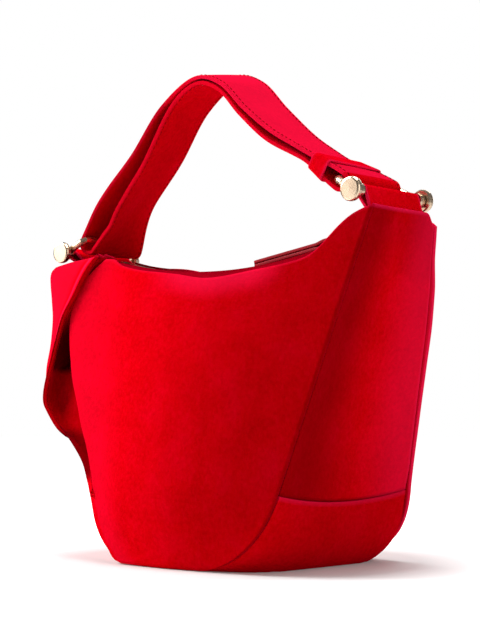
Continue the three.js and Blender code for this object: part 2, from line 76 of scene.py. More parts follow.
def softbox(name, place, target, size, watts):
    """Square area light that looks from place to target, both in millimetres."""
    lamp = bpy.data.lights.new(name, "AREA")
    lamp.size = size * MM
    lamp.energy = watts
    holder = bpy.data.objects.new(name, lamp)
    holder.location = Vector(place) * MM
    look = Vector(target) - Vector(place)
    holder.rotation_euler = look.to_track_quat("-Z", "Y").to_euler()
    bpy.context.collection.objects.link(holder)


softbox("key_light", (-700, -440, 680), (-20, 0, 130), 480, 10.0)
softbox("fill_light", (900, -60, 380), (60, 0, 120), 620, 1.6)
softbox("back_light", (-300, 900, 600), (0, 0, 150), 600, 2.6)
softbox("top_light", (110, 60, 1000), (40, 0, 250), 420, 5.8)
softbox("knob_card", (-640, -690, 230), (0, 0, 200), 380, 0.95)

BACKDROP_STRENGTH = 1.0
AMBIENT_STRENGTH = 0.13


def studio_world():
    """White backdrop to look at, and a dimmer even light on the object."""
    world = bpy.data.worlds.new("studio")
    world.use_nodes = True
    nodes, links = world.node_tree.nodes, world.node_tree.links
    seen = nodes.new("ShaderNodeLightPath").outputs["Is Camera Ray"]
    strength = nodes.new("ShaderNodeMapRange")
    strength.inputs["To Min"].default_value = AMBIENT_STRENGTH
    strength.inputs["To Max"].default_value = BACKDROP_STRENGTH
    links.new(seen, strength.inputs["Value"])
    nodes["Background"].inputs["Color"].default_value = (1, 1, 1, 1)
    links.new(strength.outputs["Result"], nodes["Background"].inputs["Strength"])
    bpy.context.scene.world = world


studio_world()
bpy.context.scene.view_settings.view_transform = "Standard"


# ---- small maths --------------------------------------------------------------------
def mix(a, b, t):
    return a + (b - a) * t


def smooth(t):
    t = min(max(t, 0.0), 1.0)
    return t * t * (3 - 2 * t)


def steps(count, start=0.0, end=1.0):
    return [mix(start, end, i / count) for i in range(count + 1)]


def through(points):
    """Smooth curve through (x, value) points, read at any x. A value is a number or vector."""

    def read(x):
        last = len(points) - 2
        i = 0
        while i < last and points[i + 1][0] <= x:
            i += 1
        (x0, y0), (x1, y1) = points[i], points[i + 1]
        here = (y1 - y0) / (x1 - x0)
        before = (y1 - points[i - 1][1]) / (x1 - points[i - 1][0]) if i > 0 else here
        after = (points[i + 2][1] - y0) / (points[i + 2][0] - x0) if i < last else here
        h = x1 - x0
        t = min(max((x - x0) / h, 0.0), 1.0)
        return (
            y0 * (2 * t**3 - 3 * t**2 + 1)
            + before * (h * (t**3 - 2 * t**2 + t))
            + y1 * (3 * t**2 - 2 * t**3)
            + after * (h * (t**3 - t**2))
        )

    return read


def softened(curve, reach):
    """The same curve with its corners averaged out over the reach on both sides."""
    return lambda x: sum(curve(x + reach * share) for share in (-1, -0.5, 0, 0.5, 1)) / 5


def ripple(x, y, z, size, seed=0.0):
    """Smooth noise from -1 to 1 whose lumps are about size millimetres across."""
    return noise.noise(Vector((x / size + seed, y / size, z / size)))


# ---- materials ----------------------------------------------------------------------
def new_material(name):
    material = bpy.data.materials.new(name)
    material.use_nodes = True
    nodes = material.node_tree.nodes
    shader = nodes["Principled BSDF"]
    return material, nodes, material.node_tree.links, shader


def noise_node(nodes, links, coords, scale, detail=3.0, rough=0.55):
    node = nodes.new("ShaderNodeTexNoise")
    node.inputs["Scale"].default_value = scale
    node.inputs["Detail"].default_value = detail
    node.inputs["Roughness"].default_value = rough
    links.new(coords, node.inputs["Vector"])
    return node.outputs["Fac"]


def ramp_node(nodes, links, value, stops):
    node = nodes.new("ShaderNodeValToRGB")
    ramp = node.color_ramp
    while len(ramp.elements) < len(stops):
        ramp.elements.new(0.5)
    for element, (place, colour) in zip(ramp.elements, stops):
        element.position = place
        element.color = (*colour, 1)
    links.new(value, node.inputs["Fac"])
    return node.outputs["Color"]


def mix_colour(nodes, links, factor, first, second, blend="MIX"):
    node = nodes.new("ShaderNodeMix")
    node.data_type = "RGBA"
    node.blend_type = blend
    for value, socket in ((factor, node.inputs[0]), (first, node.inputs[6]),
                          (second, node.inputs[7])):
        if isinstance(value, (int, float)):
            socket.default_value = value
        elif isinstance(value, tuple):
            socket.default_value = (*value, 1)
        else:
            links.new(value, socket)
    return node.outputs[2]


def bump_node(nodes, links, height, distance, strength, below=None):
    node = nodes.new("ShaderNodeBump")
    node.inputs["Distance"].default_value = distance * MM
    node.inputs["Strength"].default_value = strength
    links.new(height, node.inputs["Height"])
    if below is not None:
        links.new(below, node.inputs["Normal"])
    return node.outputs["Normal"]


def attribute_node(nodes, name):
    node = nodes.new("ShaderNodeAttribute")
    node.attribute_name = name
    return node.outputs["Fac"]


def suede_material(name, deep, body, raised, rubbed_and_lit):
    """Napped suede: brushed patches and short fibres. One point attribute darkens it with
    painted shade; another mixes in a paler colour, for rubbed edges and for painted highlights.
    """
    material, nodes, links, shader = new_material(name)
    coords = nodes.new("ShaderNodeTexCoord").outputs["Object"]
    patches = noise_node(nodes, links, coords, 45, 5, 0.6)
    fibres = noise_node(nodes, links, coords, 420, 5, 0.75)
    brushed = ramp_node(nodes, links, patches, [(0.2, deep), (0.5, body), (0.8, raised)])
    nap = ramp_node(nodes, links, fibres, [(0.3, deep), (0.5, body), (0.7, raised)])
    colour = mix_colour(nodes, links, 0.55, brushed, nap)
    # painted shade: the colour multiplied darker where the shade attribute is high
    painted_dark = mix_colour(nodes, links, 1.0, colour, (0.1, 0.0, 0.0), "MULTIPLY")
    colour = mix_colour(nodes, links, attribute_node(nodes, "shade"), colour, painted_dark)
    # rubbed edges and painted highlights: the colour mixed toward the paler colour
    colour = mix_colour(nodes, links, attribute_node(nodes, "wear_highlight"), colour, rubbed_and_lit)
    links.new(colour, shader.inputs["Base Color"])
    grain = bump_node(nodes, links, noise_node(nodes, links, coords, 1400, 4), 0.25, 0.5)
    lumps = bump_node(nodes, links, noise_node(nodes, links, coords, 170, 3), 0.5, 0.25, grain)
    links.new(lumps, shader.inputs["Normal"])
    shader.inputs["Roughness"].default_value = 0.95
    shader.inputs["Specular IOR Level"].default_value = 0.0
    shader.inputs["Sheen Weight"].default_value = 0.25
    shader.inputs["Sheen Roughness"].default_value = 0.4
    shader.inputs["Sheen Tint"].default_value = (1.0, 0.0, 0.06, 1)
    return material


def leather_material(name, deep, body, raised):
    """Smooth leather with fine pores and soft colour variation."""
    material, nodes, links, shader = new_material(name)
    coords = nodes.new("ShaderNodeTexCoord").outputs["Object"]
    tone = noise_node(nodes, links, coords, 90, 4)
    colour = ramp_node(nodes, links, tone, [(0.3, deep), (0.55, body), (0.8, raised)])
    # worn edges and painted highlight: the colour mixed toward the raised colour
    colour = mix_colour(nodes, links, attribute_node(nodes, "wear_highlight"), colour, raised)
    links.new(colour, shader.inputs["Base Color"])
    pores = nodes.new("ShaderNodeTexVoronoi")
    pores.inputs["Scale"].default_value = 1300
    links.new(coords, pores.inputs["Vector"])
    links.new(bump_node(nodes, links, pores.outputs["Distance"], 0.12, 0.4),
              shader.inputs["Normal"])
    shader.inputs["Roughness"].default_value = 0.5
    shader.inputs["Specular IOR Level"].default_value = 0.12
    return material


def cloth_material(name, dark, light, threads):
    """Plain-woven cloth: two crossing sets of threads."""
    material, nodes, links, shader = new_material(name)
    coords = nodes.new("ShaderNodeTexCoord").outputs["Object"]
    waves = []
    for direction in ("X", "Z"):
        wave = nodes.new("ShaderNodeTexWave")
        wave.bands_direction = direction
        wave.inputs["Scale"].default_value = threads
        wave.inputs["Distortion"].default_value = 0.6
        links.new(coords, wave.inputs["Vector"])
        waves.append(wave.outputs["Fac"])
    weave = nodes.new("ShaderNodeMath")
    weave.operation = "MULTIPLY"
    links.new(waves[0], weave.inputs[0])
    links.new(waves[1], weave.inputs[1])
    links.new(ramp_node(nodes, links, weave.outputs[0], [(0.1, dark), (0.8, light)]),
              shader.inputs["Base Color"])
    links.new(bump_node(nodes, links, weave.outputs[0], 0.2, 0.6), shader.inputs["Normal"])
    shader.inputs["Roughness"].default_value = 0.85
    shader.inputs["Specular IOR Level"].default_value = 0.05
    return material


def metal_material(name, worn, body, bright, roughness):
    """Plated metal with handling marks: duller and brighter patches."""
    material, nodes, links, shader = new_material(name)
    coords = nodes.new("ShaderNodeTexCoord").outputs["Object"]
    patches = noise_node(nodes, links, coords, 60, 3, 0.5)
    links.new(ramp_node(nodes, links, patches, [(0.1, worn), (0.5, body), (0.9, bright)]),
              shader.inputs["Base Color"])
    rough = nodes.new("ShaderNodeMapRange")
    rough.inputs["To Min"].default_value = roughness * 0.7
    rough.inputs["To Max"].default_value = roughness * 1.5
    links.new(noise_node(nodes, links, coords, 150, 3, 0.5), rough.inputs["Value"])
    links.new(rough.outputs["Result"], shader.inputs["Roughness"])
    shader.inputs["Metallic"].default_value = 1.0
    return material


suede = suede_material("suede_red", (0.5, 0.0, 0.0), (0.72, 0.0, 0.003),
                       (0.88, 0.0, 0.016), (0.95, 0.012, 0.085))
# The zip facings inside the bag use a darker copy of the red suede: painted shade.
shaded_facing_suede = suede_material("suede_inside_shaded", (0.16, 0.0004, 0.002), (0.28, 0.001, 0.005),
                              (0.4, 0.001, 0.01), (0.45, 0.01, 0.02))
stitch_thread = cloth_material("thread_red", (0.4, 0.0, 0.002), (0.66, 0.0, 0.01), 2600)
pull_leather = leather_material("leather_red", (0.16, 0.0, 0.003), (0.3, 0.0, 0.006),
                                (0.5, 0.005, 0.02))
lining_cloth = cloth_material("lining_twill", (0.05, 0.003, 0.004), (0.16, 0.008, 0.012), 900)
tape_cloth = cloth_material("zip_tape_twill", (0.12, 0.001, 0.003), (0.32, 0.004, 0.012), 1600)
board_fibre = cloth_material("board_fibre", (0.1, 0.07, 0.05), (0.3, 0.24, 0.18), 300)
gold = metal_material("gold_plate", (0.62, 0.42, 0.27), (0.83, 0.62, 0.44),
                      (0.95, 0.78, 0.6), 0.24)


def floor_material():
    """Matt white sweep that stays pale far from the object, as an even studio floor does."""
    material, nodes, links, shader = new_material("floor_paint")
    shader.inputs["Base Color"].default_value = (0.8, 0.8, 0.8, 1)
    shader.inputs["Roughness"].default_value = 0.9
    shader.inputs["Specular IOR Level"].default_value = 0.0
    shader.inputs["Emission Color"].default_value = (1, 1, 1, 1)
    length = nodes.new("ShaderNodeVectorMath")
    length.operation = "LENGTH"
    links.new(nodes.new("ShaderNodeTexCoord").outputs["Object"], length.inputs[0])
    far = nodes.new("ShaderNodeMapRange")
    far.inputs["From Min"].default_value = 0.11
    far.inputs["From Max"].default_value = 0.205
    far.inputs["To Min"].default_value = 0.09
    far.inputs["To Max"].default_value = 0.97
    links.new(length.outputs["Value"], far.inputs["Value"])
    seen = nodes.new("ShaderNodeMapRange")
    seen.inputs["To Min"].default_value = 0.25
    links.new(nodes.new("ShaderNodeLightPath").outputs["Is Camera Ray"], seen.inputs["Value"])
    strength = nodes.new("ShaderNodeMath")
    strength.operation = "MULTIPLY"
    links.new(far.outputs["Result"], strength.inputs[0])
    links.new(seen.outputs["Result"], strength.inputs[1])
    links.new(strength.outputs["Value"], shader.inputs["Emission Strength"])
    return material


floor_paint = floor_material()

floor_mesh = bpy.data.meshes.new("floor")
floor_mesh.from_pydata([(-6, -6, 0), (6, -6, 0), (6, 6, 0), (-6, 6, 0)], [], [(0, 1, 2, 3)])
floor = bpy.data.objects.new("floor", floor_mesh)
floor.data.materials.append(floor_paint)
bpy.context.collection.objects.link(floor)


# ---- mesh building ------------------------------------------------------------------
def make_object(name, points, faces, material, wear_and_highlight=None, shade=None):
    """Smooth-shaded mesh object from points in millimetres, with its wear and painted highlight,
    and its painted shade.
    """
    mesh = bpy.data.meshes.new(name)
    mesh.from_pydata([tuple(Vector(p) * MM) for p in points], [], faces)
    mesh.validate()
    mesh.shade_smooth()
    # one attribute carries rubbed wear and painted highlight, the other painted shade
    for kind, values in (("wear_highlight", wear_and_highlight), ("shade", shade)):
        attribute = mesh.attributes.new(kind, "FLOAT", "POINT")
        if values is not None:
            attribute.data.foreach_set("value", values)
    mesh.materials.append(material)
    made = bpy.data.objects.new(name, mesh)
    bpy.context.collection.objects.link(made)
    return made


def grid_faces(rows, columns, closed=False):
    faces = []
    for r in range(rows if closed else rows - 1):
        for c in range(columns - 1):
            a = r * columns + c
            b = ((r + 1) % rows) * columns + c
            faces.append((a, a + 1, b + 1, b))
    return faces


def ring_faces(rings, size, first=0):
    """Faces between closed rings of points that follow one another."""
    faces = []
    for r in range(rings - 1):
        low, high = first + r * size, first + (r + 1) * size
        for k in range(size):
            m = (k + 1) % size
            faces.append((low + k, low + m, high + m, high + k))
    return faces


def loft(name, rows, columns, cell, material, closed=False):
    """Sheet with a point for each row and column. cell(row, column) gives the point, its wear
    and painted highlight, and its painted shade. A closed sheet joins its last row to its first."""
    cells = [cell(row, column) for row in rows for column in columns]
    points, wear_and_highlight, shade = zip(*cells)
    faces = grid_faces(len(rows), len(columns), closed)
    return make_object(name, points, faces, material, wear_and_highlight, shade)


def face_outward(made, towards):
    """Turns every face of a sheet so that its normals agree with a direction at a point."""
    work = bmesh.new()
    work.from_mesh(made.data)
    work.normal_update()
    if sum(f.normal.dot(towards(f.calc_center_median() / MM)) for f in work.faces) < 0:
        bmesh.ops.reverse_faces(work, faces=work.faces)
    work.to_mesh(made.data)
    work.free()


BEVEL_STEPS = 3
BEVEL_FROM_ANGLE = 75.0


def thicken(made, thickness, offset=-1.0, bevel=0.0, shares=None):
    """Gives a sheet its thickness, inward from its face, and rounds its cut edges.

    shares gives each point its part of the thickness, to thin the sheet in tight folds.
    """
    solid = made.modifiers.new("thickness", "SOLIDIFY")
    solid.thickness = thickness * MM
    solid.offset = offset
    solid.use_rim = True
    if shares:
        group = made.vertex_groups.new(name="thickness")
        for index, share in enumerate(shares):
            group.add([index], share, "REPLACE")
        solid.vertex_group = group.name
    if bevel:
        rounding = made.modifiers.new("rounded_edges", "BEVEL")
        rounding.width = bevel * MM
        rounding.segments = BEVEL_STEPS
        rounding.limit_method = "ANGLE"
        rounding.angle_limit = math.radians(BEVEL_FROM_ANGLE)


def dress(made, body, slot, *replaced):
    """Puts a piece on its body, in place of the CAD nodes it replaces. The slot is not used."""
    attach(made, body)
    if replaced:
        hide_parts(*replaced)


# ---- the bag's shape, as in the CAD part --------------------------------------------
# across runs from the left seam at -1 to the right seam at 1 on the front and back panels,
# and from the front seam at -1 to the back seam at 1 on the gussets and the base.
GAP = 0.3
SKIN = 2.0
PANEL_ROUND = 0.7
SEAM_ROUND = 0.35
SEAM_HEIGHT = 44.0
# At each end: the seam's distance from the middle of the bag, the gusset's lean, the radius of
# the base's curve, how much fuller the visual base is, the gusset's top, how far the tab
# stands in from it, and the pin's place and turn.
LEFT = {"name": "left", "side": -1, "seam": 76.5, "lean": 0.325, "radius": 50.0,
        "fullness": 4.0, "top": 190.0, "tab_inset": 2.2, "pin": (-133.5, 198.0), "yaw": 4.0}
RIGHT = {"name": "right", "side": 1, "seam": 83.5, "lean": 0.2785, "radius": 60.2,
         "fullness": 12.5, "top": 206.0, "tab_inset": 1.5, "pin": (116.0, 215.0), "yaw": 0.0}
TOP_HALF_DEPTH = 29.4
SEAM_HALF_DEPTH = 59.0
BASE_HALF_DEPTH = 66.0
LINING_TOP = 180.0
# Height of the rim along the bag, from the left seam at -1 to the right seam at 1.
RIM = softened(through([(-1, 191), (-0.69, 189), (-0.41, 180.5), (-0.1, 175), (0.14, 170.5),
                        (0.4, 173), (0.66, 176.5), (0.775, 181), (0.83, 190), (0.88, 198.5),
                        (0.94, 203), (1, 206)]), 0.045)
# How far the left gusset swells out at each height.
LEFT_SWELL = through([(44, 0), (58, 1), (68, 5), (80, 16), (92, 25), (104, 28), (130, 24),
                      (160, 19), (190, 15)])


def flat_end(end):
    return end["seam"] - math.sqrt(end["radius"] ** 2 - (end["radius"] - SEAM_HEIGHT) ** 2)


def end_reach(end, z):
    """How far the gusset or the base's curve stands from the middle of the bag."""
    if z >= SEAM_HEIGHT:
        return end["seam"] + end["lean"] * (z - SEAM_HEIGHT)
    drop = end["radius"] - max(z, 0.0)
    return flat_end(end) + math.sqrt(max(end["radius"] ** 2 - drop**2, 0.0))


def middle_and_half(z, inset=0.0):
    left, right = end_reach(LEFT, z), end_reach(RIGHT, z)
    return (right - left) / 2, (right + left) / 2 - inset


def across_bag(across, z, inset=0.0):
    middle, half = middle_and_half(z, inset)
    return middle + across * half


def seam_depth(z):
    if z < SEAM_HEIGHT:
        return mix(BASE_HALF_DEPTH, SEAM_HALF_DEPTH, z / SEAM_HEIGHT)
    return mix(SEAM_HALF_DEPTH, TOP_HALF_DEPTH, (z - SEAM_HEIGHT) / (RIGHT["top"] - SEAM_HEIGHT))


def panel_depth(across, z):
    belly = 2 + 12 * smooth(z / 50) - 5 * smooth((z - 100) / 90)
    return seam_depth(z) + belly * (1 - across**2)


# ---- front panel, with the slumped fold at its left ---------------------------------
def line(*points):
    return through([(z, Vector((x, y))) for z, x, y in points])


# Each line runs up the panel as (height, x, y). From right to left: the crest where the front
# turns in, the pocket behind it, the narrow strip that stands out of the pocket, then the wing
# that wraps round the left ear, over its corner, to the gusset seam.
CREST = line((46, -68, -61.5), (58, -72.5, -59.5), (72, -79, -57.5), (84, -87, -54.5),
             (98, -94, -51.5), (111, -101.5, -48.5), (123, -106, -46.5), (139, -110, -44.5),
             (153, -111.5, -42.5), (167, -107.5, -41.5), (175, -102, -40.5),
             (183, -92, -40), (190, -80, -39.5))
POCKET = line((46, -69.5, -61), (54, -75, -59), (63, -83, -56), (73, -92.5, -52),
              (84, -107, -47.5), (98, -124, -42.5), (111, -129, -39.5), (119, -129, -37),
              (122, -127, -33), (126, -124, -25), (140, -118, -21), (150, -114, -26),
              (158, -112, -35), (167, -106, -38.5), (177, -100, -38.5), (186, -92, -38.5),
              (191, -83, -38.5))
STRIP = line((46, -71.5, -60.8), (60, -81, -58.5), (73, -94, -56.5), (83, -108, -54.5),
             (95, -120.5, -53), (101, -123.5, -52), (111, -123, -51), (122.5, -120.5, -49.5),
             (137.5, -117, -48), (154, -111.5, -46.5), (167, -103, -45), (177, -97, -44),
             (186, -90, -43), (192, -84.5, -41.5))
WING_INNER = line((46, -73.6, -60), (60, -83.6, -57), (73, -96.6, -54.8), (83, -112, -52.5),
                  (95, -125, -50.5), (101, -128, -50), (111, -129, -48.5), (122, -127, -47.5),
                  (137, -124, -46), (154, -119.5, -45), (167, -113, -43.5),
                  (177, -108, -42.5), (186, -102, -41.5), (191.5, -97, -40))
WING_OUTER = line((46, -74.2, -59.4), (60, -84, -56), (73, -97.2, -54), (83, -113, -51),
                  (95, -126.5, -48.5), (101, -131, -47.5), (111, -132.5, -45.5),
                  (122, -132.5, -44.5), (137, -130, -43), (154, -128, -42), (167, -126, -41.5),
                  (177, -125, -40.5), (186, -121, -39), (191, -115, -38))
CORNER = line((46, -74.8, -58.5), (60, -84.5, -55), (73, -97.6, -53), (83, -113.6, -48.5),
              (95, -127.7, -46), (101, -132.7, -44.5), (111, -135.5, -42), (122, -137, -40),
              (137, -136.6, -37.5), (154, -137, -36), (167, -139.5, -35), (177, -142, -34),
              (184, -143, -33), (187.5, -140, -33), (190, -134, -33))
LEFT_SEAM = line((46, -74.9, -57.8), (60, -83.8, -53), (73, -95, -49.5), (83, -110, -43),
                 (95, -124.5, -39), (101, -130, -37), (111, -133.5, -34), (122, -135.5, -31.5),
                 (137, -136.5, -29), (154, -137.5, -28), (167, -139.5, -27), (177, -141, -26.5),
                 (184, -141.5, -26), (187.5, -139, -26), (190, -134, -26))
# Where each line sits along the panel's width, its share of the width below the seam
# height, its shift in plan from its track, and the track.
FOLD_LINES = [(-105, -0.93, (0, 0), CREST), (-107.5, -0.935, (-0.6, 3.5), CREST),
              (-114, -0.94, (-2.5, 9), CREST), (-134, -0.95, (0, 0), POCKET),
              (-138, -0.955, (-1.5, 3), STRIP), (-140, -0.96, (0, 0), STRIP),
              (-141, -0.963, (-0.9, -0.9), STRIP), (-142.2, -0.966, (-1.9, 0.1), STRIP),
              (-143.4, -0.969, (-2.9, -0.8), STRIP), (-144.6, -0.972, (-3.9, 0.2), STRIP),
              (-150, -0.978, (0, 0), WING_INNER), (-158, -0.985, (0, 0), WING_OUTER),
              (-168, -0.995, (0, 0), CORNER), (-178, -1.0, (0, 0), LEFT_SEAM)]
FOLD_FOOT = 46.0
# s is a place along the front panel's width, in millimetres of suede from its middle.
PANEL_HALF = 112.0
# The share of its height at which a panel's lower edge starts, just clear of the floor.
PANEL_FOOT = 0.0035
FOLD_START = -56.0
TUCK = 6.5
FRONT_TOP = through([(-178, 188), (-168, 188.4), (-158, 190), (-150, 191), (-140, 192),
                     (-120, 190.5), (-105, 189.6), (-78, 188.2), (-56, 183)])


def plain_front(s, z):
    across = s / PANEL_HALF
    return Vector((across_bag(across, z), -(panel_depth(across, z) + 1)))


def left_tuck(y, z):
    """How far the lower left corner is pulled in toward the middle of the bag."""
    return TUCK * smooth(-y / 50) * smooth(z / 9) * (1 - smooth((z - 40) / 30))


def fold_section(z):
    """The panel's level section from the fold's start to the left seam."""
    on_track = max(z, FOLD_FOOT)
    points = [(-s, plain_front(s, z)) for s in (-32, -44, FOLD_START)]
    lines = []
    for s, share, shift, track in FOLD_LINES:
        flat = Vector((across_bag(share, z) + left_tuck(-60, z), -(panel_depth(share, z) + 1)))
        open_by = smooth((z - 50) / 40) if track is CREST else smooth((z - 72) / 14)
        shifted = track(on_track) + Vector(shift) * open_by
        if -158 < s < -114:
            inner = CREST(on_track) + Vector((-1, 4)) * smooth((z - 48) / 32)
            recess = inner.lerp(WING_OUTER(on_track), (-s - 114) / 44)
            shifted = recess.lerp(shifted, smooth((z - 68) / 12))
        lines.append((-s, flat.lerp(shifted, smooth((z - 30) / 18))))
    start, crest = points[-1][1], lines[0][1]
    middle, half = middle_and_half(z)
    x = mix(start.x, crest.x, 0.52)
    across = max((x - middle) / half, -1)
    points.append((80, Vector((x, mix(-(panel_depth(across, z) + 1), crest.y, 0.25)))))
    return through(points + lines)


def front_point(s, z):
    return plain_front(s, z) if s >= FOLD_START else fold_section(z)(-s)


def front_rim(s):
    return RIM(s / PANEL_HALF) if s >= FOLD_START else FRONT_TOP(s)


def drape(x, z, seed):
    """Soft unevenness of hanging suede."""
    return (1.1 * ripple(x, 0, z * 0.6, 46, seed) + 0.35 * ripple(x, 0, z, 17, seed + 5)
            ) * smooth(z / 30)


def edge_band(distance, width=1.6):
    """How strongly a band along an edge is marked at a distance from it: rubbed wear where it
    feeds the paler colour, painted shade at a seam where it feeds the shade.
    """
    return 0.75 * max(0.0, 1 - distance / width)


def front_wear_and_highlight(s, z, top):
    """Rubbed wear at the top edge, and painted highlights: the band under the rim, the strip's
    light edge, the left of the panel up to the crest, and the wing.
    """
    # painted highlights: the strip's light edge, the lit left of the panel, the wing and the rim
    # band
    strip_edge = math.exp(-(((s + 147.2) / 0.7) ** 2)) * smooth((z - 76) / 8)
    lit_left = 0.13 * smooth((-s - 45) / 50) * (1 - smooth((-s - 104) / 4))
    wing = 0.2 * smooth((-s - 149) / 3) * smooth((z - 110) / 20)
    rim_highlight = 0.4 * smooth(1 - (top - z) / 16) * smooth((s + 40) / 40) * smooth((75 - s) / 30)
    return max(0.35 * edge_band(top - z), strip_edge, lit_left, wing, rim_highlight)


def front_shade(s, z, top):
    """Painted shade: inside the fold, along and under the strip, darker toward the right, and
    along the right seam.
    """
    pocket = smooth((-107 - s) / 3) * smooth((s + 140) / 2) * smooth((z - 60) / 30)
    pocket *= mix(0.42, 1, smooth((z - 116) / 5)) * mix(1, 0.5, smooth((z - 142) / 15))
    strip = 0.46 * smooth((-137.5 - s) / 2) * smooth((s + 147) / 5)
    under = 0.26 * smooth((-147.6 - s) / 1.5) * (1 - smooth((z - 105) / 25))
    recess = 0.85 * smooth((-109 - s) / 4) * (1 - smooth((z - 74) / 16))
    folded = max(pocket, max(strip, under) * smooth((z - 72) / 8), recess)
    painted_dark = 0.42 * smooth((s + 70) / 150) * (1 - 0.3 * smooth((60 - z) / 60))
    painted_dark *= 1 - 0.8 * smooth(1 - (top - z) / 18) * smooth((75 - s) / 30)
    return max(folded * smooth((z - 46) / 8), painted_dark, 0.75 * edge_band(PANEL_HALF - s, 1.5))


def fold_thickness(s, z):
    """Part of the full thickness, less where the fold's layers run together at its foot."""
    tight = smooth((-s - 96) / 8) * (1 - smooth((-s - 164) / 10))
    tight *= smooth((z - 40) / 6) * (1 - smooth((z - 66) / 16))
    return 1 - 0.85 * tight


def front_panel():
    columns = steps(72, PANEL_HALF, FOLD_START)[:-1] + steps(22, FOLD_START, -102)[:-1]
    columns += steps(14, -102, -112)[:-1] + steps(14, -112, -136)[:-1]
    columns += steps(30, -136, -146)[:-1] + steps(20, -146, -178)
    rows = steps(110, PANEL_FOOT, 1)

    def cell(share, s):
        top = front_rim(s)
        z = top * share
        x, y = front_point(s, z)
        calm = smooth((PANEL_HALF - abs(s)) / 10) if s > FOLD_START else 0.6
        y -= drape(x, z, 3.1) * calm
        return (x, y, z), front_wear_and_highlight(s, z, top), front_shade(s, z, top)

    made = loft("front_panel_suede", rows, columns, cell, suede)
    face_outward(made, lambda p: Vector((0, -1, 0)))
    shares = [fold_thickness(s, front_rim(s) * share) for share in rows for s in columns]
    thicken(made, SKIN, shares=shares)
    dress(made, "bag_body", "suede", "front_panel")


# How far the back panel's seam edges stand out past the gussets at each height.
FLANGE = through([(0, 0), (4, 0.8), (10, 4.6), (16, 5.4), (24, 4.8), (36, 3.4), (50, 2.6),
                  (90, 3.5), (120, 4.5), (140, 5.2), (155, 4.8), (165, 4.2), (180, 2.1),
                  (192, 1.4), (206, 0.5)])
# How far the suede's top edges drop at the back right corner.
CORNER_DROP = 6.5


def back_panel():
    def cell(share, across):
        top = RIM(across) - CORNER_DROP * max(0.0, (across - 0.9) / 0.1) ** 2.4
        z = top * share
        x = across_bag(across, z)
        y = panel_depth(across, z) + 1 + drape(x, z, 9.4) * smooth((1 - abs(across)) / 0.08)
        x += math.copysign(FLANGE(z) * smooth((abs(across) - 0.94) / 0.06), across)
        return (x, y, z), max(edge_band(top - z), edge_band((1 - abs(across)) * 100, 1.2)), 0.0

    made = loft("back_panel_suede", steps(90, PANEL_FOOT, 1), steps(96, -1, 1), cell, suede)
    face_outward(made, lambda p: Vector((0, 1, 0)))
    thicken(made, SKIN, bevel=PANEL_ROUND)
    dress(made, "bag_body", "suede", "back_panel")


# ---- gussets and base ---------------------------------------------------------------
BAND_CLEARANCE = SKIN / 2 + GAP
SEAM_DIP = 5.0
# painted shade that darkens the whole base panel evenly
BASE_SHADE = 0.16


def seam_line(across):
    """Height of the seam between a gusset and the base."""
    return SEAM_HEIGHT - SEAM_DIP * (1 - across**2)


def right_gusset():
    def cell(level, across):
        low = seam_line(across) + GAP / 2
        top = RIGHT["top"] - CORNER_DROP * smooth((across - 0.7) / 0.3) ** 2
        z = mix(low, top, level)
        hollow = mix(5.5, 1.5, smooth((z - 150) / 40)) * smooth((z - 44) / 30)
        x = end_reach(RIGHT, z) - hollow * (1 - across**2) ** 0.9
        x += 0.7 * ripple(0, across * 40, z, 26, 2.0) * (1 - across**2)
        x += 0.55 * FLANGE(z) * smooth((across - 0.25) / 0.75) * smooth((z - 40) / 20)
        y = across * (seam_depth(z) - BAND_CLEARANCE)
        # paler toward the back seam: painted highlight, beside rubbed wear at the top and back
        # edges
        wear_and_highlight = max(edge_band(top - z), 0.9 * edge_band((1 - across) * 40, 1.8),
                   0.3 * smooth((across - 0.1) / 0.9))
        # painted shade: darker toward the front seam, toward the top, and along the seam with
        # the base
        shade = max(0.6 * smooth((0.45 - across) / 1.2), 0.3 * smooth((z - 150) / 50),
                    1.1 * edge_band(z - low, 1.2))
        return (x, y, z), wear_and_highlight, shade

    made = loft("right_gusset_suede", steps(70), steps(48, -1, 1), cell, suede)
    face_outward(made, lambda p: Vector((1, 0, 0)))
    thicken(made, SKIN, bevel=SEAM_ROUND)
    dress(made, "bag_body", "suede", "right_gusset")


def left_gusset():
    def cell(level, across):
        low = seam_line(across) + GAP
        top = LEFT["top"] - 2 * smooth((abs(across) - 0.7) / 0.3)
        z = mix(low, top, level)
        swell = LEFT_SWELL(z) * (1 - across**2) ** 0.7
        y = across * (seam_depth(z) - BAND_CLEARANCE)
        x = left_tuck(y, z) - (end_reach(LEFT, z) + swell)
        seam = LEFT_SEAM(max(z, FOLD_FOOT))
        pull = smooth(-across) * smooth((z - 44) / 14)
        x = mix(x, seam.x + 1.2, pull)
        y = mix(y, seam.y + 2.2, pull)
        x += 0.8 * ripple(0, y, z, 24, 7.0) * (1 - across**2)
        return (x, y, z), max(edge_band(top - z), edge_band((1 - across) * 40, 1.6)), 0.0

    made = loft("left_gusset_suede", steps(80), steps(48, -1, 1), cell, suede)
    face_outward(made, lambda p: Vector((-1, 0, 0)))
    thicken(made, SKIN, bevel=SEAM_ROUND)
    dress(made, "bag_body", "suede", "left_gusset")


